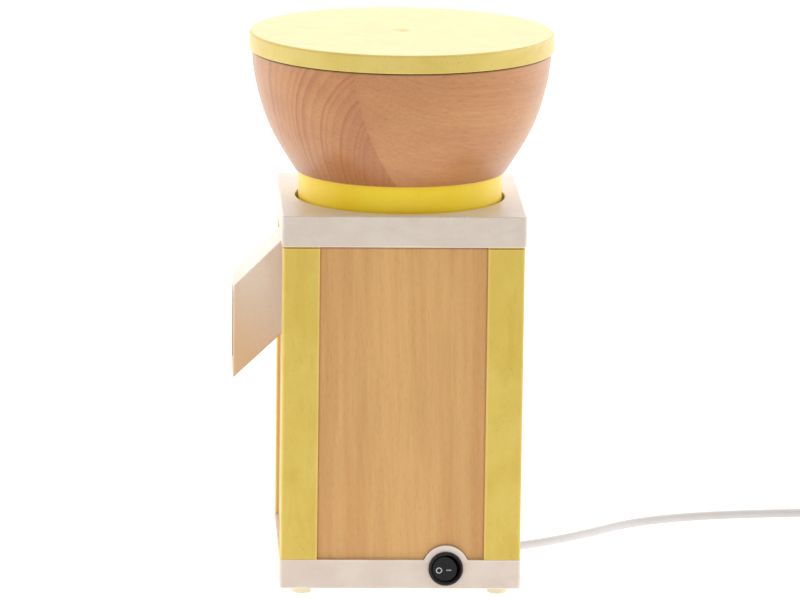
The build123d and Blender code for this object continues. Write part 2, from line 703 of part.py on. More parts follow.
with BuildPart() as terminal_screws:
    with BuildSketch(Plane.XY.offset(Z_BASE + 11.0)):
        with Locations((30.0, 56.0)):
            with GridLocations(12.5, 8.0, 3, 2):
                Circle(2.0)
    extrude(amount=5.6)
    with BuildSketch(Plane.XY.offset(Z_BASE + 16.0)):
        with Locations((30.0, 56.0)):
            with GridLocations(12.5, 8.0, 3, 2):
                Rectangle(5.0, 0.7)
    extrude(amount=0.6, mode=Mode.SUBTRACT)
finish(terminal_screws, "terminal_screws")

# round rocker switch: body behind the boss, bezel in front, rocker that tips
# about a vertical pivot; at rest its "off" side is pressed in
with BuildPart() as switch_body:
    with BuildSketch(Plane.YZ.offset(60.0)):
        with Locations((SW_Y, SW_Z)):
            Circle(10.0)
    extrude(amount=20.4)
    with BuildSketch(Plane.YZ.offset(BASE_W / 2)):
        with Locations((SW_Y, SW_Z)):
            Circle(11.5)
    extrude(amount=2.0)
    fillet(switch_body.faces().sort_by(Axis.X)[-1].edges(), radius=0.9)
    with BuildSketch(Plane.YZ.offset(70.0)):
        with Locations((SW_Y, SW_Z)):
            Circle(9.0)
    extrude(amount=15.0, mode=Mode.SUBTRACT)
    # the bezel slopes down to the rocker
    chamfer(switch_body.edges().filter_by(GeomType.CIRCLE).filter_by(
        lambda e: abs(e.radius - 9.0) < 0.01).sort_by(Axis.X)[-1], length=1.25)
    # bearings for the rocker's pivot stubs
    with BuildSketch(Plane.XY.offset(SW_Z - 9.75)):
        with Locations((76.5, SW_Y)):
            Circle(1.25)
    extrude(amount=19.5, mode=Mode.SUBTRACT)
finish(switch_body, "switch_body")

t = math.radians(-SW_TIP)
out_dir = Vector(math.cos(t), math.sin(t), 0)
across = Vector(-math.sin(t), math.cos(t), 0)
PIVOT = Vector(76.5, SW_Y, SW_Z)
with BuildPart() as switch_rocker:
    with BuildSketch(Plane(origin=PIVOT, x_dir=across, z_dir=out_dir).offset(-2.5)):
        Circle(8.1)
    extrude(amount=9.4)
    with BuildSketch(Plane(origin=PIVOT, x_dir=out_dir, z_dir=(0, 0, 1))):
        with BuildLine():
            Polyline((9.0, -10.0), (6.9, -10.0), (4.5, 0.0), (6.9, 10.0), (9.0, 10.0), close=True)
        make_face()
    extrude(amount=10.0, both=True, mode=Mode.SUBTRACT)
    # pivot stubs above and below
    with BuildSketch(Plane.XY.offset(SW_Z - 9.6)):
        with Locations((76.5, SW_Y)):
            Circle(1.2)
    extrude(amount=19.2)
finish(switch_rocker, "switch_rocker")

with BuildPart() as switch_terminals:
    with BuildSketch(Plane.YZ.offset(51.0)):
        with Locations((SW_Y - 3.5, SW_Z + 3.0), (SW_Y - 3.5, SW_Z - 3.0),
                       (SW_Y + 3.5, SW_Z + 3.0), (SW_Y + 3.5, SW_Z - 3.0)):
            Rectangle(0.8, 4.8)
    extrude(amount=9.0)
finish(switch_terminals, "switch_terminals")

# ============================================================ hopper and lid
with BuildPart() as hopper_ring:
    with BuildSketch(Plane.XZ):
        with BuildLine():
            Polyline((SKIRT_R, 240.0), (RING_R, 240.0), (RING_R, Z_BOWL), (20.0, Z_BOWL),
                     (15.5, 266.0), (15.5, 238.5), (17.6, 238.5), (17.6, 266.0),
                     (SKIRT_R, 266.0), close=True)
        make_face()
    revolve(axis=Axis.Z)
    with BuildSketch(Plane.XY.offset(266.0)):
        with PolarLocations(28.0, 4):
            Circle(2.2)
    extrude(amount=10.0, mode=Mode.SUBTRACT)
finish(hopper_ring, "hopper_ring")

with BuildPart() as hopper_screws:
    with BuildSketch(Plane.XY.offset(263.4)):
        with PolarLocations(28.0, 4):
            Circle(3.6)
    extrude(amount=2.6)
    with BuildSketch(Plane.XY.offset(266.0)):
        with PolarLocations(28.0, 4):
            Circle(1.9)
    extrude(amount=17.0)
finish(hopper_screws, "hopper_screws")

with BuildPart() as thrust_washer:
    with BuildSketch(Plane.XY.offset(265.0)):
        Circle(41.0)
        Circle(35.0, mode=Mode.SUBTRACT)
    extrude(amount=1.0)
finish(thrust_washer, "thrust_washer")

with BuildPart() as hopper_bowl:
    with BuildSketch(Plane.XZ):
        with BuildLine():
            outside = Spline(*[(r, Z_BOWL + h) for r, h in BOWL_OUT])
            inside = Spline(*[(r, Z_BOWL + h) for r, h in BOWL_IN])
            Line(outside @ 1, inside @ 1)
            Line(inside @ 0, (20.0, Z_BOWL))
            Line((20.0, Z_BOWL), outside @ 0)
        make_face()
    revolve(axis=Axis.Z)
    fillet(hopper_bowl.edges().filter_by(GeomType.CIRCLE).filter_by(
        lambda e: abs(e.radius - 70.5) < 0.01), radius=1.2)
    fillet(hopper_bowl.edges().filter_by(GeomType.CIRCLE).filter_by(
        lambda e: abs(e.radius - 89.2) < 0.01), radius=1.5)
    with BuildSketch(Plane.XY.offset(Z_BOWL)):
        with PolarLocations(28.0, 4):
            Circle(1.9)
    extrude(amount=8.0, mode=Mode.SUBTRACT)
finish(hopper_bowl, "hopper_bowl")

with BuildPart() as lid:
    with BuildSketch(Plane.XZ):
        with BuildLine():
            Polyline((0, Z_END - 4.4), (84.2, Z_END - 4.4), (84.2, Z_LID - 6.0),
                     (88.0, Z_LID - 6.0), (88.0, Z_LID), (97.4, Z_LID),
                     (97.4, Z_LID + 0.9), (LID_R, Z_LID + 0.9), (LID_R, Z_END),
                     (0, Z_END), close=True)
        make_face()
    revolve(axis=Axis.Z)
    fillet(lid.edges().filter_by(GeomType.CIRCLE).filter_by(
        lambda e: abs(e.radius - LID_R) < 0.01).sort_by(Axis.Z)[-1], radius=1.6)
    fillet(lid.edges().filter_by(GeomType.CIRCLE).filter_by(
        lambda e: abs(e.radius - LID_R) < 0.01).sort_by(Axis.Z)[0], radius=0.8)
    # shallow dimple in the middle of the top
    with BuildSketch(Plane.XZ):
        with BuildLine():
            Polyline((0, Z_END - 1.1), (7.5, Z_END), (7.5, Z_END + 1.0), (0, Z_END + 1.0), close=True)
        make_face()
    revolve(axis=Axis.Z, mode=Mode.SUBTRACT)
finish(lid, "lid")

# ============================================================ cord
with BuildPart() as strain_relief:
    with BuildSketch(relief_plane.offset(-6.2)):
        Circle(6.5)
    extrude(amount=2.0)
    with BuildSketch(relief_plane.offset(-4.2)):
        Circle(3.9)
    extrude(amount=4.2)
    with BuildSketch(relief_plane):
        Circle(5.3)
    extrude(amount=2.0)
    with BuildSketch(relief_plane.offset(2.0)):
        Circle(5.0)
    extrude(amount=24.0, taper=3.1)
finish(strain_relief, "strain_relief")

route_start = GLAND + relief_dir * 26.0
ROUTE = [tuple(route_start),
         (-43.6, 69.6, 3.9),
         (-55.0, 86.8, 3.02),
         (-70.5, 110.5, 3.02),
         (-96.0, 139.5, 3.02),
         (-124.0, 166.5, 3.02),
         (-142.0, 200.0, 3.02),
         (-152.5, 240.0, 3.02),
         (-158.0, 284.0, 3.02),
         (-160.0, 318.0, 3.6),
         (-160.2, 352.0, 4.0)]


def arc_radii(points):
    """The largest arc each corner has room for: 0.45 of the shorter run over tan(half the turn)."""
    pts = [Vector(*p) for p in points]
    radii = []
    for a, b, c in zip(pts, pts[1:], pts[2:]):
        turn = math.radians((b - a).get_angle(c - b))
        radii.append(0.45 * min((b - a).length, (c - b).length) / math.tan(turn / 2))
    return radii


def report_route(name, points):
    """Print the runs and the arc radii of a route."""
    runs = [(Vector(*q) - Vector(*p)).length for p, q in zip(points, points[1:])]
    print(name, "runs", [round(r, 1) for r in runs])
    print(name, "radii", [round(r, 1) for r in arc_radii(points)])


def line_length(line):
    return sum(e.length for e in line.line.edges())


report_route("power_cord", ROUTE)
with BuildPart() as power_cord:
    with BuildLine() as cord_line:
        FilletPolyline(*ROUTE, radius=arc_radii(ROUTE))
    with BuildSketch(Plane(origin=ROUTE[0], z_dir=cord_line.line % 0)):
        Circle(CORD_R)
    sweep(path=cord_line.line)
print("power_cord length", round(line_length(cord_line), 1), "volume/section",
      round(power_cord.part.volume / (math.pi * CORD_R ** 2), 1))
finish(power_cord, "power_cord")

# the put-away length: the outer shape of a neat coil of five turns
with BuildPart() as cord_coil:
    with BuildSketch(Plane(origin=(COIL_X, COIL_Y, 0), x_dir=(1, 0, 0), z_dir=(0, -1, 0))):
        with Locations(((COIL_R0 + COIL_R1) / 2, (COIL_Z0 + COIL_Z1) / 2)):
            RectangleRounded(COIL_R1 - COIL_R0, COIL_Z1 - COIL_Z0, 3.0)
    revolve(axis=Axis((COIL_X, COIL_Y, 0), (0, 0, 1)))
finish(cord_coil, "cord_coil")

with BuildPart() as cord_tie:
    with BuildSketch(Plane(origin=(COIL_X - 4.0, COIL_Y, 0), x_dir=(0, 1, 0), z_dir=(1, 0, 0))):
        with Locations((-(COIL_R0 + COIL_R1) / 2, (COIL_Z0 + COIL_Z1) / 2)):
            RectangleRounded(COIL_R1 - COIL_R0 + 1.8, COIL_Z1 - COIL_Z0 + 1.8, 3.8)
            RectangleRounded(COIL_R1 - COIL_R0 + 0.2, COIL_Z1 - COIL_Z0 + 0.2, 3.1, mode=Mode.SUBTRACT)
    extrude(amount=8.0)
finish(cord_tie, "cord_tie")

PLUG_X, PLUG_Y, PLUG_Z = -70.0, 389.0, 12.5
TAIL = [(COIL_X, COIL_Y + 36.0, 9.2),
        (COIL_X + 13.0, COIL_Y + 36.2, 9.6),
        (COIL_X + 27.0, COIL_Y + 36.9, 11.8),
        (PLUG_X - 10.0, PLUG_Y, PLUG_Z)]
report_route("cord_tail", TAIL)
with BuildPart() as cord_tail:
    with BuildLine() as tail_line:
        FilletPolyline(*TAIL, radius=arc_radii(TAIL))
    with BuildSketch(Plane(origin=TAIL[0], z_dir=tail_line.line % 0)):
        Circle(CORD_R)
    sweep(path=tail_line.line)
print("cord_tail length", round(line_length(tail_line), 1), "volume/section",
      round(cord_tail.part.volume / (math.pi * CORD_R ** 2), 1))
finish(cord_tail, "cord_tail")

# moulded two-pin plug lying flat, its sleeve towards the coil
with BuildPart() as plug:
    with BuildSketch(Plane.YZ.offset(PLUG_X + 14.0)):
        with Locations((PLUG_Y, PLUG_Z)):
            RectangleRounded(22.0, 18.0, 7.0)
    with BuildSketch(Plane.YZ.offset(PLUG_X + 38.0)):
        with Locations((PLUG_Y, PLUG_Z)):
            RectangleRounded(36.0, 24.6, 10.0)
    loft()
    with BuildSketch(Plane.YZ.offset(PLUG_X + 38.0)):
        with Locations((PLUG_Y, PLUG_Z)):
            RectangleRounded(36.0, 24.6, 10.0)
    extrude(amount=6.0)
    with BuildSketch(Plane.YZ.offset(PLUG_X - 10.0)):
        with Locations((PLUG_Y, PLUG_Z)):
            Circle(3.9)
    extrude(amount=24.0, taper=-3.0)
finish(plug, "plug")

with BuildPart() as plug_pins:
    with BuildSketch(Plane.YZ.offset(PLUG_X + 44.0)):
        with Locations((PLUG_Y - 9.5, PLUG_Z), (PLUG_Y + 9.5, PLUG_Z)):
            Circle(2.4)
    extrude(amount=19.0)
    fillet(plug_pins.faces().sort_by(Axis.X)[-2:].edges(), radius=1.6)
finish(plug_pins, "plug_pins")

coil_length = 2 * math.pi * (39 + 33 + 27 + 30 + 36)
print("cord total about", round(line_length(cord_line) + line_length(tail_line) + coil_length + 26))
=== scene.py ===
import math

import bmesh
import bpy
from mathutils import Matrix, Vector


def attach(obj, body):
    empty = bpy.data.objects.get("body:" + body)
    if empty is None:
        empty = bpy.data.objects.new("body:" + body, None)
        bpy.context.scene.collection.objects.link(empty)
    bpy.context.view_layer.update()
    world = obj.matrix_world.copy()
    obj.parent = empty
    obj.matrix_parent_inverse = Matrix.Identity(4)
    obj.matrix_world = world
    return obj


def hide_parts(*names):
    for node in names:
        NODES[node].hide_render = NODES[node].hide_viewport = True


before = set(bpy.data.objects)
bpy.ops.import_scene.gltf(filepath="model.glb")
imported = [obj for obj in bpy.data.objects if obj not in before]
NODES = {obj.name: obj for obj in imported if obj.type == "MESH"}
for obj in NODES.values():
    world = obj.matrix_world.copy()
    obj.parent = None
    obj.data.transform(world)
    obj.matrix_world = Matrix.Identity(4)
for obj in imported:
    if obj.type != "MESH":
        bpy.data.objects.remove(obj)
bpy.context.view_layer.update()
scene = bpy.context.scene
MM = 0.001


# =====================================================================
# camera: the photograph's viewing angle, far away with a long lens
# =====================================================================
def make_camera():
    az, el, roll = (math.radians(a) for a in (-2.518, 11.391, 0.748))
    look = Vector((-math.cos(az) * math.cos(el), -math.sin(az) * math.cos(el), -math.sin(el)))
    right = Vector((-math.sin(az), math.cos(az), 0.0))
    up = right.cross(look)
    r2 = right * math.cos(roll) + up * math.sin(roll)
    u2 = up * math.cos(roll) - right * math.sin(roll)
    place = Vector((0.0, 0.0010, 0.18583)) - look * 4.85096
    data = bpy.data.cameras.new("camera")
    data.lens, data.sensor_width, data.sensor_fit = 324.45, 36.0, "HORIZONTAL"
    data.clip_start, data.clip_end = 0.1, 200.0
    cam = bpy.data.objects.new("camera", data)
    scene.collection.objects.link(cam)
    m = Matrix.Identity(4)
    for i in range(3):
        m[i][0], m[i][1], m[i][2], m[i][3] = r2[i], u2[i], -look[i], place[i]
    cam.matrix_world = m
    scene.camera = cam


make_camera()


# =====================================================================
# cord: one smooth line from under the rear edge to the coil and the plug
# =====================================================================
CORD_D = 0.006
COIL = (-121.0, 352.0)
ROUTE = [(-35.82, 57.97, 7.27), (-43.6, 69.6, 3.9), (-55.0, 86.8, 3.05), (-70.5, 110.5, 3.05),
         (-96.0, 139.5, 3.05), (-124.0, 166.5, 3.05), (-142.0, 200.0, 3.05), (-152.5, 240.0, 3.05),
         (-158.0, 284.0, 3.05), (-160.0, 318.0, 3.05)]
TAIL = [(-108.0, 394.0, 9.6), (-94.0, 391.4, 11.6), (-85.0, 389.2, 12.4), (-76.0, 389.0, 12.5)]


def ramped(n, stops):
    """Value at n on the piecewise line through stops, eased at each end."""
    for (n0, v0), (n1, v1) in zip(stops, stops[1:]):
        if n <= n1:
            t = 0.0 if n1 == n0 else min(max((n - n0) / (n1 - n0), 0.0), 1.0)
            return v0 + (v1 - v0) * t * t * (3 - 2 * t)
    return stops[-1][1]


def coil_points():
    """Five turns, clockwise from above: three on the floor, then two lying on them."""
    radius = [(0.0, 39.4), (0.75, 39.4), (1.0, 33.2), (1.75, 33.2), (2.0, 27.1), (2.7, 27.1), (3.0, 30.3),
              (4.0, 30.5), (4.25, 36.4), (5.0, 36.6), (5.25, 42.4)]
    height = [(0.0, 3.05), (2.35, 3.05), (2.72, 9.15), (5.25, 9.15)]
    wobble = [0.10, -0.16, 0.12, 0.0, -0.1, 0.14, -0.08]
    steps, out = 16, []
    for k in range(int(5.25 * steps) + 1):
        n = k / steps
        a = math.pi - 2 * math.pi * n
        r = ramped(n, radius) + wobble[k % 7]
        out.append((COIL[0] + r * math.cos(a), COIL[1] + r * math.sin(a), ramped(n, height)))
    return out


def make_cord():
    points = ROUTE + coil_points() + TAIL
    data = bpy.data.curves.new("mains_lead", "CURVE")
    data.dimensions = "3D"
    data.bevel_depth = 1.0  # times each point's radius
    data.bevel_resolution = 7
    data.resolution_u = 6
    data.use_fill_caps = True
    spline = data.splines.new("NURBS")
    spline.points.add(len(points) - 1)
    for p, c in zip(spline.points, points):
        p.co = (c[0] * MM, c[1] * MM, c[2] * MM, 1.0)
        p.radius = CORD_D / 2
    spline.order_u = 3
    spline.use_endpoint_u = True
    obj = bpy.data.objects.new("mains_lead", data)
    scene.collection.objects.link(obj)
    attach(obj, "housing")
    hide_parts("power_cord", "cord_coil", "cord_tail")
    return obj


lead = make_cord()


# =====================================================================
# node helpers
# =====================================================================
class Mat:
    """A material with a Principled shader and short ways to add nodes."""

    def __init__(self, name, rough=0.5, metal=0.0, ior=1.5, coat=0.0, sheen=0.0, specular=0.5):
        self.m = bpy.data.materials.new(name)
        self.m.use_nodes = True
        self.t = self.m.node_tree
        self.t.nodes.clear()
        out = self.t.nodes.new("ShaderNodeOutputMaterial")
        self.b = self.t.nodes.new("ShaderNodeBsdfPrincipled")
        self.t.links.new(self.b.outputs[0], out.inputs[0])
        self.b.inputs["Roughness"].default_value = rough
        self.b.inputs["Metallic"].default_value = metal
        self.b.inputs["IOR"].default_value = ior
        self.b.inputs["Coat Weight"].default_value = coat
        self.b.inputs["Sheen Weight"].default_value = sheen
        self.b.inputs["Specular IOR Level"].default_value = specular
        self.pos = self.node("TexCoord").outputs["Object"]

    def node(self, kind, ins=(), **props):
        n = self.t.nodes.new("ShaderNode" + kind)
        for k, v in props.items():
            setattr(n, k, v)
        for k, v in dict(ins).items():
            self.put(n.inputs[k], v)
        return n

    def put(self, socket, v):
        if isinstance(v, bpy.types.NodeSocket):
            self.t.links.new(v, socket)
        else:
            socket.default_value = v

    def f(self, op, a, b=0.0, c=0.0, clamp=False):
        n = self.t.nodes.new("ShaderNodeMath")
        n.operation, n.use_clamp = op, clamp
        for s, v in zip(n.inputs, (a, b, c)):
            self.put(s, v)
        return n.outputs[0]

    def v(self, op, a, b=(0.0, 0.0, 0.0), out=0):
        n = self.t.nodes.new("ShaderNodeVectorMath")
        n.operation = op
        self.put(n.inputs[0], a)
        self.put(n.inputs[1], b)
        return n.outputs[out]

    def dot(self, a, b):
        return self.v("DOT_PRODUCT", a, b, 1)

    def vec(self, x, y, z):
        return self.node("CombineXYZ", {"X": x, "Y": y, "Z": z}).outputs[0]

    def scaled(self, sx, sy, sz, at=None):
        return self.v("MULTIPLY", at or self.pos, (sx, sy, sz))

    def noise(self, at, scale=1.0, detail=2.0, rough=0.5, bend=0.0):
        n = self.node("TexNoise", {"Scale": scale, "Detail": detail, "Roughness": rough, "Distortion": bend})
        self.t.links.new(at, n.inputs["Vector"])
        return n.outputs[0]

    def cells(self, at, scale=1.0, feature="F1", out="Distance", random=1.0):
        n = self.node("TexVoronoi", {"Scale": scale, "Randomness": random}, feature=feature)
        self.t.links.new(at, n.inputs["Vector"])
        return n.outputs[out]

    def fit(self, x, lo, hi, a=0.0, b=1.0, smooth=True):
        n = self.node("MapRange", {"Value": x, "From Min": lo, "From Max": hi, "To Min": a, "To Max": b})
        n.clamp = True
        n.interpolation_type = "SMOOTHSTEP" if smooth else "LINEAR"
        return n.outputs[0]

    def mix(self, fac, a, b, blend="MIX"):
        n = self.node("Mix", data_type="RGBA", blend_type=blend)
        self.put(n.inputs[0], fac)
        for i, c in ((6, a), (7, b)):
            self.put(n.inputs[i], c if isinstance(c, bpy.types.NodeSocket) else tuple(c)[:3] + (1.0,))
        return n.outputs[2]

    def _scale(self, colour, amount):
        """Colour times 1 + amount, the same in every channel."""
        n = self.t.nodes.new("ShaderNodeVectorMath")
        n.operation = "SCALE"
        self.put(n.inputs[0], colour)
        self.put(n.inputs["Scale"], self.f("ADD", amount, 1.0))
        return n.outputs[0]

    def bump(self, height, distance, strength=1.0, under=None):
        n = self.node("Bump", {"Height": height, "Distance": distance, "Strength": strength})
        if under is not None:
            self.t.links.new(under, n.inputs["Normal"])
        return n.outputs[0]

    def done(self, colour=None, rough=None, normal=None):
        if colour is not None:
            self.put(self.b.inputs["Base Color"], colour if isinstance(colour, bpy.types.NodeSocket) else tuple(colour)[:3] + (1.0,))
        if rough is not None:
            self.put(self.b.inputs["Roughness"], rough)
        if normal is not None:
            self.t.links.new(normal, self.b.inputs["Normal"])
        return self.m


def srgb(r, g, b):
    """Linear colour of an 8-bit sRGB one."""
    def one(c):
        c /= 255.0
        return c / 12.92 if c <= 0.04045 else ((c + 0.055) / 1.055) ** 2.4
    return (one(r), one(g), one(b), 1.0)


# =====================================================================
# materials
# =====================================================================
def bowl_rings(m):
    """Annual rings of the bowl: steep arcs on one side of a ridge and sloping lines on
    the other, where they show less. Gives the ring radius and how strongly it shows."""
    az, el, phi = (math.radians(a) for a in (-4.86, -20.119, 54.515))
    d = Vector((math.cos(az) * math.cos(el), math.sin(az) * math.cos(el), math.sin(el)))
    e1 = Vector((-math.sin(az), math.cos(az), 0.0))
    e2 = d.cross(e1)
    centre = e1 * 0.41484 + Vector((0.0, 0.0, 0.03409))
    a_dir = e1 * math.cos(phi) + e2 * math.sin(phi)
    b_dir = e2 * math.cos(phi) - e1 * math.sin(phi)
    q = m.v("SUBTRACT", m.pos, tuple(centre))
    a, b = m.dot(q, tuple(a_dir)), m.dot(q, tuple(b_dir * 0.3))
    steep = m.f("SQRT", m.f("ADD", m.f("MULTIPLY", a, a), m.f("MULTIPLY", b, b)))
    xyz = m.node("SeparateXYZ", {"Vector": m.pos})
    y = m.f("MINIMUM", xyz.outputs["Y"], 0.0371)
    level = m.f("MULTIPLY_ADD", xyz.outputs["Z"], 0.2994, 0.06721)
    sloping = m.f("ADD", level, m.f("MULTIPLY", y, m.f("MULTIPLY_ADD", y, -1.7167, 0.1274)))
    side = m.f("SUBTRACT", steep, sloping)
    return m.f("MAXIMUM", steep, sloping), m.fit(side, -0.0004, 0.0006)


def wood(name, centre, axis, ring, light, mid, dark, late=0.6, flecks=1.0, seed=0.0, rough=0.40, soft=0.5,
         taper=0.0, wander=1.0, fibres=1.0, bands=1.0, width=95.0, rings=None, faint=1.0, heart=None, pale_at=None, dashes=(1250.0, 230.0),
         overhang_shade=None, coat=0.0, sheen=0.0, post_shade=None, low=None):
    """Solid beech. Annual rings run round a pith line through centre along axis, so
    end grain, flat-sawn and side grain come out where the piece's shape cuts them."""
    m = Mat(name, specular=0.5, coat=coat, sheen=sheen)
    m.b.inputs["Coat Roughness"].default_value = 0.34
    m.b.inputs["Sheen Roughness"].default_value = 0.45
    p = Vector(axis).normalized()
    e1 = Vector((-p.y, p.x, 0.0))
    e1 = Vector((1.0, 0.0, 0.0)) if e1.length < 1e-6 else e1.normalized()
    e2 = p.cross(e1)
    q = m.v("SUBTRACT", m.pos, tuple(Vector(centre)))
    u, v, w = m.dot(q, tuple(e1)), m.dot(q, tuple(e2)), m.dot(q, tuple(p))

    def grain(across, along, shift, detail=2.0, rgh=0.5):
        """Noise that is drawn out along the fibres; sizes in features per metre."""
        return m.noise(m.vec(m.f("MULTIPLY", u, across), m.f("MULTIPLY", v, across), m.f("MULTIPLY_ADD", w, along, seed + shift)), 1.0, detail, rgh)

    slow, fine = grain(22.0, 5.0, 0.0), grain(160.0, 26.0, 0.0)
    shown = None
    if rings:
        r, shown = rings(m)
    else:
        r = m.f("SQRT", m.f("ADD", m.f("MULTIPLY", u, u), m.f("MULTIPLY", v, v)))
    r = m.f("ADD", r, m.f("MULTIPLY", m.f("SUBTRACT", slow, 0.5), ring * 2.2 * wander))
    if taper:
        r = m.f("MULTIPLY_ADD", w, taper, r)
    r = m.f("ADD", r, m.f("MULTIPLY", m.f("SUBTRACT", fine, 0.5), ring * 0.30 * wander))
    phase = m.f("DIVIDE", r, ring)
    # rings of unequal width
    uneven = m.noise(m.vec(m.f("MULTIPLY", phase, 0.37), seed, 0.3), 1.0, 1.0)
    phase = m.f("ADD", phase, m.f("MULTIPLY", uneven, 2.1))
    fr = m.f("FRACT", phase)
    which = m.node("TexWhiteNoise", {"W": m.f("FLOOR", phase)}, noise_dimensions="1D").outputs["Value"]
    latewood = m.f("MULTIPLY", m.fit(fr, soft, 0.93), m.fit(fr, 0.955, 1.0, 1.0, 0.0))
    latewood = m.f("MULTIPLY", latewood, m.f("MULTIPLY_ADD", which, 0.8, 0.35))
    if shown is not None:
        latewood = m.f("MULTIPLY", latewood, m.f("MULTIPLY_ADD", shown, 1.0 - faint, faint))
    # vessels and rays: short dashes along the grain, points on end grain
    dash = grain(dashes[0], dashes[1], 0.0, 1.0)
    dark_dash, pale_dash = m.fit(dash, 0.57, 0.70), m.fit(dash, 0.42, 0.30)
    fibre = grain(620.0, 22.0, 0.0, 3.0, 0.6)
    tone = grain(width, 2.6, 4.0, 2.0, 0.55)
    broad = grain(width * 0.3, 1.6, 9.0, 1.0)
    cloud = m.noise(m.scaled(13.0, 13.0, 13.0), 1.0, 2.0)
    c = m.mix(m.f("MULTIPLY", m.fit(tone, 0.32, 0.66), bands), light, mid)
    c = m.mix(m.f("MULTIPLY", m.fit(broad, 0.5, 0.75), 0.16 * bands), c, dark)
    if heart is not None:
        near = m.f("MULTIPLY", m.fit(r, heart[0], heart[1], 1.0, 0.0), shown)
        c = m.mix(m.f("MULTIPLY", near, heart[2]), c, dark)
    if pale_at is not None:
        line = m.f("ADD", m.dot(m.pos, pale_at[0]), m.f("MULTIPLY", m.f("SUBTRACT", slow, 0.5), 0.006))
        off = m.f("ABSOLUTE", m.f("SUBTRACT", line, pale_at[1]))
        c = m.mix(m.f("MULTIPLY", m.fit(off, 0.2 * pale_at[2], pale_at[2], 1.0, 0.0), pale_at[3]), c, tuple(x * 1.12 for x in light[:3]))
    c = m.mix(m.f("MULTIPLY", latewood, late), c, dark)
    c = m.mix(m.f("MULTIPLY", dark_dash, 0.24 * flecks), c, dark)
    c = m.mix(m.f("MULTIPLY", pale_dash, 0.28 * flecks), c, tuple(x * 1.07 for x in light[:3]))
    amount = m.f("ADD", m.f("MULTIPLY", m.f("SUBTRACT", fibre, 0.5), 0.20 * fibres), m.f("MULTIPLY", m.f("SUBTRACT", cloud, 0.5), 0.08))
    c = m._scale(c, amount)
    # painted shade: the piece is made darker towards its bottom
    if low is not None:
        low_shade = m.fit(m.node("SeparateXYZ", {"Vector": m.pos}).outputs["Z"], low[0], low[1], 1.0, 0.0)
        c = m.mix(m.f("MULTIPLY", low_shade, low[2]), c, dark)
    if post_shade is not None:
        # painted shade in the corner where the panel meets the posts, tinted with painted yellow light thrown from the
        # posts
        near = m.fit(m.f("ABSOLUTE", m.node("SeparateXYZ", {"Vector": m.pos}).outputs[post_shade[0]]), post_shade[1], post_shade[2])
        near = m.f("MULTIPLY", near, m.f("MULTIPLY_ADD", tone, 0.4, 0.8))
        c = m.mix(m.f("MULTIPLY", m.f("MULTIPLY", near, near), post_shade[3]), c, srgb(152, 106, 18))
    if overhang_shade is not None:
        # painted shade: a darker band along the top edge, under the overhanging plate on the panels and under the lid
        # on the bowl
        edge = m.fit(m.node("SeparateXYZ", {"Vector": m.pos}).outputs["Z"], overhang_shade[0], overhang_shade[1])
        if len(overhang_shade) > 3:
            edge = m.f("MULTIPLY", edge, m.fit(m.v("LENGTH", m.v("MULTIPLY", m.pos, (1.0, 1.0, 0.0)), out=1), overhang_shade[3], overhang_shade[3] + 0.002))
        c = m.mix(m.f("MULTIPLY", edge, overhang_shade[2]), c, tuple(x * 0.22 for x in dark[:3]))
    rgh = m.f("ADD", m.f("MULTIPLY", dark_dash, 0.14), m.f("MULTIPLY_ADD", fibre, 0.16, rough - 0.08))
    height = m.f("ADD", m.f("MULTIPLY", fibre, 0.6), m.f("MULTIPLY", dark_dash, -0.55))
    return m.done(c, rgh, m.bump(height, 0.00009, 0.7))


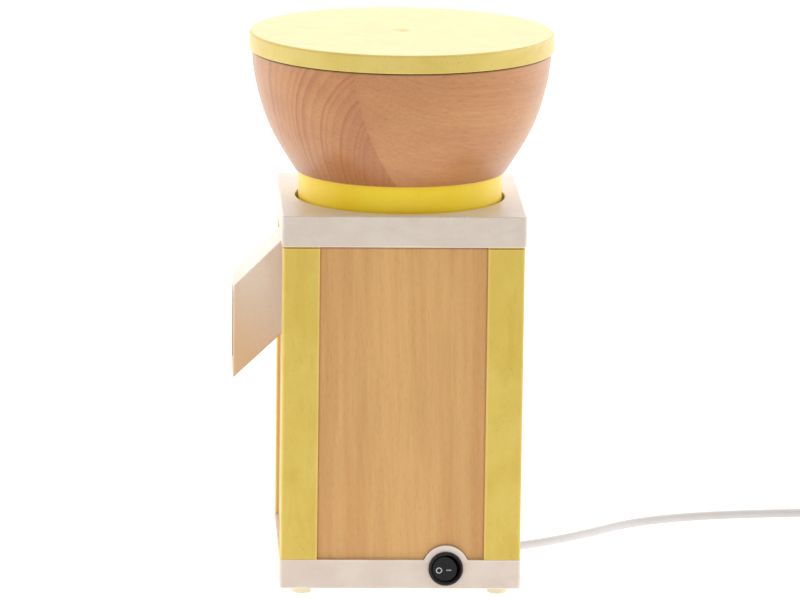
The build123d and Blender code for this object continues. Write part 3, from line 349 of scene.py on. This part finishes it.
def moulded(name, base, deep, pale, rough=0.5, specks=1.0, seed=0.0, streak=(70.0, 70.0, 24.0), coat=0.0, mottle=1.0,
            corners=None, warm_bounce=None, sheen=0.0, arris=None):
    """Moulded wood-fibre plastic: cloudy tone, fine grain, sparse fibres and dark specks."""
    m = Mat(name, rough=rough, specular=0.42, coat=coat, sheen=sheen)
    m.b.inputs["Coat Roughness"].default_value = 0.30
    m.b.inputs["Sheen Roughness"].default_value = 0.40
    at = m.v("ADD", m.pos, (seed, seed * 0.7, seed * 0.3))
    cloud = m.noise(m.scaled(26.0, 26.0, 26.0, at), 1.0, 3.0, 0.6)
    flow = m.noise(m.scaled(*streak, at), 1.0, 3.0, 0.55, 0.6)
    grain = m.noise(m.scaled(650.0, 650.0, 420.0, at), 1.0, 2.0)
    fine = m.noise(m.scaled(1900.0, 1900.0, 1900.0, at), 1.0, 1.0)
    speck = m.noise(m.scaled(760.0, 760.0, 520.0, at), 1.0, 0.0)
    rare = m.noise(m.scaled(90.0, 90.0, 90.0, at), 1.0, 1.0)
    fibre = m.noise(m.scaled(900.0, 900.0, 110.0, at), 1.0, 0.0, 0.5, 0.8)
    c = m.mix(m.fit(cloud, 0.35, 0.68), base, pale)
    c = m.mix(m.f("MULTIPLY", m.fit(flow, 0.48, 0.72), 0.55 * mottle), c, deep)
    dots = m.f("MULTIPLY", m.fit(speck, 0.71, 0.78), m.fit(rare, 0.45, 0.62))
    c = m.mix(m.f("MULTIPLY", dots, 0.22 * specks), c, tuple(x * 0.5 for x in deep[:3]))
    c = m.mix(m.f("MULTIPLY", m.fit(fibre, 0.68, 0.80), 0.16 * specks), c, pale)
    # painted bounce light: a warm tint painted over the lower part of the piece
    if warm_bounce is not None:
        low = m.fit(m.dot(m.pos, warm_bounce[0]), warm_bounce[1], warm_bounce[2], 1.0, 0.0)
        c = m.mix(m.f("MULTIPLY", low, m.f("MULTIPLY_ADD", cloud, 0.5, 0.65)), c, warm_bounce[3])
    c = m._scale(c, m.f("MULTIPLY", m.f("SUBTRACT", grain, 0.5), 0.09 * mottle))
    rgh = m.f("ADD", m.f("MULTIPLY", grain, 0.10), m.f("MULTIPLY_ADD", cloud, 0.14, rough - 0.12))
    if corners is not None:
        # edges handled smooth: a little paler and glossier
        xyz = m.node("SeparateXYZ", {"Vector": m.pos})
        half, z0, z1 = corners
        ex = m.fit(m.f("ABSOLUTE", xyz.outputs["X"]), half - 0.0020, half - 0.0003)
        ey = m.fit(m.f("ABSOLUTE", xyz.outputs["Y"]), half - 0.0020, half - 0.0003)
        ez = m.f("MAXIMUM", m.fit(xyz.outputs["Z"], z1 - 0.0016, z1 - 0.0003), m.fit(xyz.outputs["Z"], z0 + 0.0016, z0 + 0.0003))
        worn = m.f("MAXIMUM", m.f("MULTIPLY", ex, ey), m.f("MULTIPLY", ez, m.f("MAXIMUM", ex, ey)))
        worn = m.f("MULTIPLY", worn, m.fit(cloud, 0.30, 0.62, 0.35, 1.0))
        c = m.mix(m.f("MULTIPLY", worn, 0.45), c, tuple(min(1.0, x * 1.16 + 0.02) for x in pale[:3]))
        rgh = m.f("MULTIPLY_ADD", worn, -0.08, rgh)
    if arris is not None:
        # painted highlight: a paler strip along the posts' inner vertical edges
        xyz = m.node("SeparateXYZ", {"Vector": m.pos})
        arris_highlight = m.f("MAXIMUM", m.fit(m.f("ABSOLUTE", xyz.outputs["X"]), arris[0], arris[1], 1.0, 0.0), m.fit(m.f("ABSOLUTE", xyz.outputs["Y"]), arris[0], arris[1], 1.0, 0.0))
        c = m.mix(m.f("MULTIPLY", arris_highlight, m.f("MULTIPLY_ADD", cloud, 0.5, 0.4)), c, arris[2])
    n1 = m.bump(cloud, 0.0006, 0.25)
    n2 = m.bump(m.f("ADD", m.f("MULTIPLY", grain, 0.7), m.f("MULTIPLY", fine, 0.3)), 0.00006, 0.6, n1)
    return m.done(c, rgh, n2)


def brushed(name, colour, rough=0.32, along=(40.0, 40.0, 1800.0), seed=0.0, wear=0.3):
    m = Mat(name, rough=rough, metal=1.0)
    at = m.v("ADD", m.pos, (seed, seed, seed))
    line = m.noise(m.scaled(*along, at), 1.0, 2.0)
    blot = m.noise(m.scaled(120.0, 120.0, 120.0, at), 1.0, 3.0)
    c = m._scale(m.mix(m.fit(blot, 0.4, 0.75), colour, tuple(x * 0.78 for x in colour[:3])), m.f("MULTIPLY", m.f("SUBTRACT", line, 0.5), 0.22))
    rgh = m.f("ADD", m.f("MULTIPLY", line, 0.16), m.f("MULTIPLY_ADD", blot, wear, rough - 0.14))
    return m.done(c, rgh, m.bump(line, 0.00002, 0.5))


def cast_metal(name, colour, rough=0.45, seed=0.0):
    m = Mat(name, rough=rough, metal=1.0)
    at = m.v("ADD", m.pos, (seed, seed, seed))
    pit = m.noise(m.scaled(700.0, 700.0, 700.0, at), 1.0, 4.0, 0.6)
    blot = m.noise(m.scaled(60.0, 60.0, 60.0, at), 1.0, 3.0)
    c = m.mix(m.fit(blot, 0.35, 0.7), colour, tuple(x * 0.82 for x in colour[:3]))
    c = m._scale(c, m.f("MULTIPLY", m.f("SUBTRACT", pit, 0.5), 0.25))
    rgh = m.f("MULTIPLY_ADD", pit, 0.3, rough - 0.12)
    return m.done(c, rgh, m.bump(pit, 0.0001, 0.6))


def speckled_stone(name, base, dark, seed=0.0):
    m = Mat(name, rough=0.85, specular=0.3)
    at = m.v("ADD", m.pos, (seed, seed, seed))
    grit = m.cells(at, 900.0)
    patch = m.noise(m.scaled(180.0, 180.0, 180.0, at), 1.0, 3.0)
    bits = m.noise(m.scaled(1400.0, 1400.0, 1400.0, at), 1.0, 1.0)
    c = m.mix(m.fit(grit, 0.1, 0.7), base, tuple(x * 0.8 for x in base[:3]))
    c = m.mix(m.f("MULTIPLY", m.fit(bits, 0.60, 0.70), 0.7), c, dark)
    c = m._scale(c, m.f("MULTIPLY", m.f("SUBTRACT", patch, 0.5), 0.25))
    return m.done(c, m.f("MULTIPLY_ADD", bits, 0.2, 0.72), m.bump(m.f("ADD", grit, bits), 0.00025, 0.9))


def smooth_plastic(name, colour, rough=0.38, grain=0.00003, vary=0.06, seed=0.0, coat=0.0, specular=0.5, dusty=0.0, fine=1600.0):
    m = Mat(name, rough=rough, coat=coat, specular=specular)
    at = m.v("ADD", m.pos, (seed, seed, seed))
    cloud = m.noise(m.scaled(70.0, 70.0, 70.0, at), 1.0, 3.0)
    small = m.noise(m.scaled(fine, fine, fine, at), 1.0, 2.0)
    c = m._scale(m.mix(0.0, colour, colour), m.f("ADD", m.f("MULTIPLY", m.f("SUBTRACT", cloud, 0.5), vary * 2), m.f("MULTIPLY", m.f("SUBTRACT", small, 0.5), vary)))
    if dusty:
        c = m.mix(m.f("MULTIPLY", m.fit(small, 0.58, 0.75), dusty), c, (0.35, 0.33, 0.30))
    rgh = m.f("ADD", m.f("MULTIPLY", cloud, 0.12), m.f("MULTIPLY_ADD", small, 0.10, rough - 0.11))
    return m.done(c, rgh, m.bump(small, grain, 0.7))


def wound(name, colour, along, seed=0.0):
    """Enamelled wire laid side by side."""
    m = Mat(name, rough=0.3, metal=0.85)
    wob = m.noise(m.scaled(90.0, 90.0, 90.0), 1.0, 2.0)
    row = m.f("ADD", m.dot(m.pos, tuple(x * 1150.0 * 6.283 for x in along)), m.f("MULTIPLY", wob, 9.0))
    wave = m.f("ABSOLUTE", m.f("SINE", row))
    c = m._scale(m.mix(m.fit(wob, 0.3, 0.7), colour, tuple(x * 0.7 for x in colour[:3])), m.f("MULTIPLY", m.f("SUBTRACT", wave, 0.6), 0.5))
    return m.done(c, m.f("MULTIPLY_ADD", wob, 0.2, 0.2), m.bump(wave, 0.0002, 0.8))


def woven(name, colour, pitch=0.0011, fuzz=0.5, seed=0.0):
    m = Mat(name, rough=0.85, sheen=0.35, specular=0.25)
    w = 6.283 / pitch
    s = m.node("SeparateXYZ", {"Vector": m.pos})
    a = m.f("SINE", m.f("MULTIPLY", s.outputs["X"], w))
    b = m.f("SINE", m.f("MULTIPLY", m.f("ADD", s.outputs["Y"], s.outputs["Z"]), w))
    over = m.f("MULTIPLY", a, b)
    hair = m.noise(m.scaled(2600.0, 2600.0, 2600.0), 1.0, 3.0, 0.7)
    c = m._scale(m.mix(m.fit(over, -0.6, 0.8), tuple(x * 0.6 for x in colour[:3]), colour), m.f("MULTIPLY", m.f("SUBTRACT", hair, 0.5), fuzz))
    return m.done(c, m.f("MULTIPLY_ADD", hair, 0.2, 0.75), m.bump(m.f("ADD", over, hair), 0.00025, 0.9))


WOOD_L, WOOD_M, WOOD_D = srgb(214, 166, 102), srgb(202, 149, 88), srgb(172, 108, 52)
BOWL_L, BOWL_M, BOWL_D = srgb(197, 138, 83), srgb(186, 123, 71), srgb(147, 72, 34)
UP = (0.0, 0.0, 1.0)

MATS = {
    "panel_right": wood("beech_panel_right", (-0.015, 0.105, 0.1), (0.035, -0.03, 1.0), 0.0062, WOOD_L, WOOD_M, WOOD_D, late=0.09, seed=1.3, taper=0.05,
                        flecks=0.62, bands=0.8, overhang_shade=(0.2352, 0.2366, 0.55), pale_at=((0.0, 1.0, 0.03), -0.0045, 0.0085, 0.28), post_shade=("Y", 0.0535, 0.0556, 0.62)),
    "panel_left": wood("beech_panel_left", (0.010, 0.115, 0.1), (0.02, 0.03, 1.0), 0.0060, WOOD_L, WOOD_M, WOOD_D, late=0.10, seed=7.7, taper=-0.05,
                       flecks=0.62, bands=0.8, overhang_shade=(0.2352, 0.2366, 0.55), pale_at=((0.0, 1.0, -0.02), 0.024, 0.008, 0.25), post_shade=("Y", 0.0535, 0.0556, 0.62)),
    "panel_front": wood("beech_panel_front", (0.030, 0.045, 0.1), (-0.03, 0.03, 1.0), 0.0058, WOOD_L, WOOD_M, WOOD_D, late=0.12, seed=4.1, taper=0.09,
                        flecks=0.62, bands=0.8, overhang_shade=(0.2352, 0.2366, 0.55), pale_at=((1.0, 0.0, 0.02), -0.026, 0.009, 0.25), post_shade=("X", 0.0535, 0.0556, 0.62)),
    "panel_rear": wood("beech_panel_rear", (-0.105, 0.02, 0.1), (0.02, -0.03, 1.0), 0.0056, WOOD_L, WOOD_M, WOOD_D, late=0.11, seed=12.9, taper=0.06,
                       flecks=0.62, bands=0.8, overhang_shade=(0.2352, 0.2366, 0.55), pale_at=((1.0, 0.0, -0.03), 0.014, 0.010, 0.27), post_shade=("X", 0.0535, 0.0556, 0.62)),
    "bowl": wood("beech_bowl", (0.0568, 0.0355, 0.265), (math.cos(math.radians(-58)), math.sin(math.radians(-58)), 0.06), 0.00160, BOWL_L, BOWL_M, BOWL_D,
                 late=0.42, flecks=0.9, seed=2.2, rough=0.38, soft=0.22, wander=0.35, bands=0.6, width=60.0, rings=bowl_rings, faint=0.26,
                 heart=(0.152, 0.170, 0.36), dashes=(1050.0, 100.0), fibres=1.5, overhang_shade=(0.3551, 0.3558, 0.5, 0.0955), coat=0.30, sheen=0.16, low=(0.272, 0.312, 0.16)),
    "dowel": wood("beech_dowel", (0.0, 0.0, 0.0), (0.02, 0.03, 1.0), 0.003, WOOD_L, WOOD_M, WOOD_D, seed=3.0),
    "post": moulded("yellow_post", srgb(214, 184, 78), srgb(206, 173, 64), srgb(220, 193, 92), rough=0.40, seed=0.31, corners=(0.080, 0.0252, 0.2361),
                    arris=(0.0562, 0.0574, srgb(236, 198, 118))),
    "lid": moulded("yellow_lid", srgb(219, 192, 94), srgb(213, 183, 80), srgb(224, 200, 107), rough=0.36, seed=1.7, streak=(40.0, 40.0, 60.0), coat=0.12, sheen=0.15),
    "ring": moulded("yellow_collar", srgb(252, 216, 18), srgb(247, 207, 10), srgb(254, 222, 34), rough=0.34, seed=2.9, specks=0.5, mottle=0.7, coat=0.10, sheen=0.20),
    "base": moulded("cream_base", srgb(218, 202, 187), srgb(211, 193, 177), srgb(224, 211, 198), rough=0.42, seed=4.4, streak=(30.0, 30.0, 90.0), specks=0.7, mottle=0.7, corners=(0.0804, 0.0055, 0.0252)),
    "plate": moulded("cream_plate", srgb(214, 199, 184), srgb(206, 189, 173), srgb(220, 208, 195), rough=0.42, seed=6.3, streak=(30.0, 30.0, 90.0), specks=0.7, mottle=0.7, corners=(0.0810, 0.2373, 0.2581), coat=0.25, sheen=0.15),
    "spout": moulded("cream_spout", srgb(226, 211, 196), srgb(219, 202, 186), srgb(232, 219, 207), rough=0.42, seed=5.6,
                     warm_bounce=((0.0, 0.75, 0.66), 0.020, 0.066, srgb(219, 184, 144))),
    "foot": smooth_plastic("foot_rubber", srgb(228, 221, 186), rough=0.6, vary=0.08, grain=0.00005, specular=0.35),
    "steel": brushed("zinc_steel", srgb(196, 198, 202)),
    "shaft": brushed("ground_shaft", srgb(205, 206, 208), rough=0.24, along=(60.0, 60.0, 2400.0), seed=0.2),
    "core": brushed("lamination_stack", srgb(120, 122, 128), rough=0.42, along=(30.0, 30.0, 2000.0), seed=0.4),
    "bearing": brushed("bearing_steel", srgb(214, 214, 217), rough=0.2, along=(900.0, 900.0, 90.0), seed=0.7),
    "cast": cast_metal("cast_aluminium", srgb(203, 204, 206)),
    "turned": brushed("turned_aluminium", srgb(206, 207, 209), rough=0.34, along=(60.0, 60.0, 1500.0), seed=1.1),
    "stone": speckled_stone("grinding_stone", srgb(214, 211, 202), srgb(120, 116, 110)),
    "copper": wound("winding_copper", srgb(196, 112, 62), (0.5, 0.5, 0.3)),
    "felt": woven("felt_seal", srgb(222, 221, 214), pitch=0.0006, fuzz=0.9),
    "capacitor": smooth_plastic("capacitor_case", srgb(232, 231, 226), rough=0.4),
    "nylon": smooth_plastic("natural_nylon", srgb(236, 231, 217), rough=0.45),
    "black": smooth_plastic("black_nylon", srgb(30, 28, 30), rough=0.36, vary=0.10, specular=0.28, grain=0.00004, dusty=0.04),
    "gloss_black": smooth_plastic("black_rocker", srgb(20, 20, 23), rough=0.28, vary=0.08, grain=0.00001, specular=0.2, dusty=0.03),
    "mark": smooth_plastic("white_mark", srgb(196, 196, 194), rough=0.6, specular=0.3),
    "mark_worn": smooth_plastic("worn_mark", srgb(150, 149, 148), rough=0.6, specular=0.3),
    "brass": brushed("contact_brass", srgb(206, 178, 108), rough=0.3, seed=1.9),
    "nickel": brushed("nickel_pins", srgb(212, 208, 200), rough=0.22, along=(30.0, 1400.0, 1400.0), seed=2.3),
    "pvc": smooth_plastic("cord_pvc", srgb(209, 206, 205), rough=0.42, vary=0.04, grain=0.00003, specular=0.45),
    "plug": smooth_plastic("plug_pvc", srgb(206, 201, 198), rough=0.45, vary=0.04, grain=0.00005, specular=0.45, fine=1100.0),
    "strap": woven("tie_strap", srgb(58, 58, 60), pitch=0.0009, fuzz=0.8),
}

BY_NODE = {
    "base_tray": "base", "top_plate": "plate", "flour_spout": "spout",
    "corner_post_front_right": "post", "corner_post_front_left": "post", "corner_post_rear_right": "post", "corner_post_rear_left": "post",
    "right_panel": "panel_right", "left_panel": "panel_left", "front_panel": "panel_front", "rear_panel": "panel_rear",
    "hopper_bowl": "bowl", "hopper_ring": "ring", "lid": "lid", "post_dowels": "dowel", "feet": "foot",
    "milling_chamber": "cast", "chamber_cover": "turned", "stone_carrier": "turned", "stone_hub": "turned",
    "motor_upper_shield": "cast", "motor_lower_shield": "cast", "rotor_end_rings": "cast",
    "upper_stone": "stone", "lower_stone": "stone", "shaft_seal": "felt",
    "stator_core": "core", "rotor_core": "core", "stator_windings": "copper",
    "upper_bearing": "bearing", "lower_bearing": "bearing", "motor_shaft": "shaft",
    "run_capacitor": "capacitor", "terminal_block": "nylon", "thrust_washer": "nylon",
    "cooling_fan": "black", "switch_body": "black", "switch_rocker": "gloss_black", "switch_terminals": "brass",
    "strain_relief": "pvc", "cord_tie": "strap", "plug": "plug", "plug_pins": "nickel",
}


def dress(obj, mat):
    obj.data.materials.clear()
    obj.data.materials.append(mat)


for name, obj in NODES.items():
    dress(obj, MATS[BY_NODE.get(name, "steel")])
dress(lead, MATS["pvc"])


# =====================================================================
# printed marks on the rocker: a ring for off and a dash for on
# =====================================================================
def new_piece(name, verts, faces, mat, body, smooth=True):
    mesh = bpy.data.meshes.new(name)
    mesh.from_pydata([tuple(v) for v in verts], [], faces)
    mesh.update()
    bm = bmesh.new()
    bm.from_mesh(mesh)
    bmesh.ops.recalc_face_normals(bm, faces=bm.faces)
    bm.to_mesh(mesh)
    bm.free()
    for poly in mesh.polygons:
        poly.use_smooth = smooth
    obj = bpy.data.objects.new(name, mesh)
    scene.collection.objects.link(obj)
    dress(obj, mat)
    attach(obj, body)
    return obj


def make_marks():
    tilt = math.radians(-7.0)
    pivot = Vector((76.5, 30.3, 19.5))
    out_dir, across = Vector((math.cos(tilt), math.sin(tilt), 0.0)), Vector((-math.sin(tilt), math.cos(tilt), 0.0))

    def on_face(a, z, h):
        """Point on the rocker's face, a across, z up, h proud of it, in mm."""
        return (pivot + across * a + out_dir * (4.5 + 0.24 * abs(a) + h) + Vector((0.0, 0.0, z))) * MM

    n, verts, faces = 56, [], []
    section = [(1.42, -0.06), (1.42, 0.05), (1.49, 0.09), (1.99, 0.09), (2.06, 0.05), (2.06, -0.06)]
    for i in range(n):
        t = 2 * math.pi * i / n
        verts += [on_face(-3.85 + r * math.cos(t), -1.05 + r * math.sin(t), h) for r, h in section]
    k = len(section)
    for i in range(n):
        for j in range(k):
            a, b = i * k + j, i * k + (j + 1) % k
            c, d = ((i + 1) % n) * k + (j + 1) % k, ((i + 1) % n) * k + j
            faces.append((a, b, c, d))
    new_piece("mark_off", verts, faces, MATS["mark"], "rocker")

    def outline(grow):
        pts, r = [], 0.46 + grow
        for i in range(24):
            t = 2 * math.pi * (i + 0.5) / 24
            a = math.copysign(1.45, math.cos(t)) + r * math.cos(t)
            pts.append((2.62 + a, -0.72 + 0.12 * a + r * math.sin(t)))
        return pts

    verts, faces = [], []
    for grow, h in ((0.0, -0.06), (0.0, 0.05), (-0.09, 0.09)):
        verts += [on_face(a, z, h) for a, z in outline(grow)]
    for lay in range(2):
        for i in range(24):
            j = (i + 1) % 24
            faces.append((lay * 24 + i, lay * 24 + j, (lay + 1) * 24 + j, (lay + 1) * 24 + i))
    faces += [tuple(range(23, -1, -1)), tuple(range(48, 72))]
    new_piece("mark_on", verts, faces, MATS["mark_worn"], "rocker")


make_marks()


# =====================================================================
# plug: ribs of the flex relief and finger ridges; strap: its overlapping end
# =====================================================================
def ring_rows(rows, n):
    """Faces between rows of n points that close on themselves, row after row."""
    return [(r * n + i, r * n + (i + 1) % n, ((r + 1) % rows) * n + (i + 1) % n, ((r + 1) % rows) * n + i)
            for r in range(rows) for i in range(n)]


def make_plug_details():
    y0, z0, n = 389.0, 12.5, 40
    section = [(-0.80, -0.5), (-0.72, 0.30), (-0.45, 0.52), (0.45, 0.52), (0.72, 0.30), (0.80, -0.5)]
    verts, faces = [], []
    for k in range(7):
        x = -77.6 + 3.05 * k
        for dx, dr in section:
            r = 3.9 + (x + dx + 80.0) / 24.0 * 1.3 + dr
            for i in range(n):
                t = 2 * math.pi * i / n
                verts.append(Vector((x + dx, y0 + r * math.cos(t), z0 + r * math.sin(t))) * MM)
        base = k * len(section) * n
        faces += [tuple(base + v for v in f) for f in ring_rows(len(section), n)]
    ribs = new_piece("plug_relief_ribs", verts, faces, MATS["plug"], "housing")

    # finger ridges across both narrow flanks, their ends sunk into the rounded corners
    verts, faces = [], []
    rows, m = 12, 14
    for side in (-1, 1):
        for k in range(5):
            x = -51.6 + 4.1 * k
            half = 11.0 + (x + 56.0) / 24.0 * 7.0
            base = len(verts)
            for j in range(rows + 1):
                s = j / rows * 2 - 1
                swell = math.sqrt(max(0.0, 1 - s * s)) * 0.98 + 0.02
                for i in range(m):
                    t = 2 * math.pi * i / m
                    verts.append(Vector((x + 0.85 * swell * math.cos(t), y0 + side * (half - 0.15 - 0.9 * s * s + 0.75 * swell * math.sin(t)),
                                         z0 + 5.2 * s)) * MM)
            for j in range(rows):
                for i in range(m):
                    a, b = base + j * m + i, base + j * m + (i + 1) % m
                    faces.append((a, b, b + m, a + m))
            faces += [tuple(base + i for i in range(m)), tuple(base + rows * m + i for i in range(m))]
    ridges = new_piece("plug_finger_ridges", verts, faces, MATS["plug"], "housing")

    # overlapping end of the strap, lying on its top and bent down one side
    path = [(325.6, 13.16), (324.6, 13.30), (322.0, 13.36), (318.0, 13.36), (314.4, 13.34), (312.3, 13.0), (310.5, 11.9), (309.5, 10.2), (309.3, 8.2), (309.4, 6.9), (309.6, 6.4)]
    thick = [0.10, 0.32, 0.42, 0.42, 0.42, 0.42, 0.42, 0.42, 0.42, 0.32, 0.10]
    verts, faces = [], []
    for i, ((y, z), h) in enumerate(zip(path, thick)):
        a, b = path[max(i - 1, 0)], path[min(i + 1, len(path) - 1)]
        d = Vector((0.0, b[0] - a[0], b[1] - a[1])).normalized()
        nrm = Vector((0.0, d.z, -d.y))
        for sx, sn in ((-3.85, -1), (-4.05, 0), (-3.85, 1), (3.85, 1), (4.05, 0), (3.85, -1)):
            verts.append((Vector((-121.0 + sx, y, z)) + nrm * h * sn) * MM)
    for i in range(len(path) - 1):
        for j in range(6):
            a, b = i * 6 + j, i * 6 + (j + 1) % 6
            faces.append((a, b, b + 6, a + 6))
    faces += [tuple(range(6)), tuple((len(path) - 1) * 6 + j for j in range(6))]
    tab = new_piece("tie_end", verts, faces, MATS["strap"], "housing", smooth=False)
    return [ribs.name, ridges.name, tab.name]


cord_pieces = make_plug_details()


# =====================================================================
# studio
# =====================================================================
def area(name, place, at, size, power, colour=(1.0, 1.0, 1.0)):
    data = bpy.data.lights.new(name, "AREA")
    data.shape, data.size, data.size_y = "RECTANGLE", size[0], size[1]
    data.energy, data.color = power, colour
    obj = bpy.data.objects.new(name, data)
    scene.collection.objects.link(obj)
    obj.location = place
    obj.rotation_mode = "QUATERNION"
    obj.rotation_quaternion = (Vector(at) - Vector(place)).to_track_quat("-Z", "Y")
    return obj


def make_studio():
    world = bpy.data.worlds.new("studio")
    world.use_nodes = True
    scene.world = world
    bg = world.node_tree.nodes["Background"]
    bg.inputs[0].default_value = (1.0, 1.0, 1.0, 1.0)
    bg.inputs[1].default_value = 0.66
    area("top_softbox", (-1.7, 0.0, 3.0), (-0.1, 0.0, 0.0), (3.0, 3.6), 68.0)
    area("back_softbox", (-3.6, 0.0, 0.95), (0.0, 0.0, 0.75), (7.0, 1.8), 48.0)
    area("side_softbox_left", (-1.1, -3.2, 0.95), (-0.3, 0.0, 0.75), (4.2, 1.8), 44.0)
    area("side_softbox_right", (-1.1, 3.2, 0.95), (-0.3, 0.0, 0.75), (4.2, 1.8), 48.0)

    bm = bmesh.new()
    bmesh.ops.create_circle(bm, cap_ends=True, cap_tris=False, segments=128, radius=70.0)
    mesh = bpy.data.meshes.new("floor")
    bm.to_mesh(mesh)
    bm.free()
    floor = bpy.data.objects.new("floor", mesh)
    floor.location = (0.0, 0.0, -0.0002)
    scene.collection.objects.link(floor)
    m = Mat("floor_white", rough=0.9, specular=0.2)
    cloud = m.noise(m.scaled(3.0, 3.0, 3.0), 1.0, 2.0)
    m.b.inputs["Emission Color"].default_value = (1.0, 1.0, 1.0, 1.0)
    # painted light: the floor glows brighter within about 0.6 m of the mill, filling in its contact shadow; further out
    # it glows evenly
    near = m.fit(m.v("LENGTH", m.v("SUBTRACT", m.pos, (0.05, 0.0, 0.0)), out=1), 0.05, 0.62, 1.0, 0.0)
    m.put(m.b.inputs["Emission Strength"], m.f("MULTIPLY_ADD", near, 0.36, 0.66))
    floor.data.materials.append(m.done(m.mix(cloud, (0.44, 0.44, 0.44), (0.46, 0.46, 0.46)), None, None))
    scene.view_settings.view_transform = "Standard"
    scene.view_settings.look = "None"
    scene.view_settings.exposure = 0.0
    scene.view_settings.gamma = 1.0


make_studio()

bpy.context.view_layer.update()
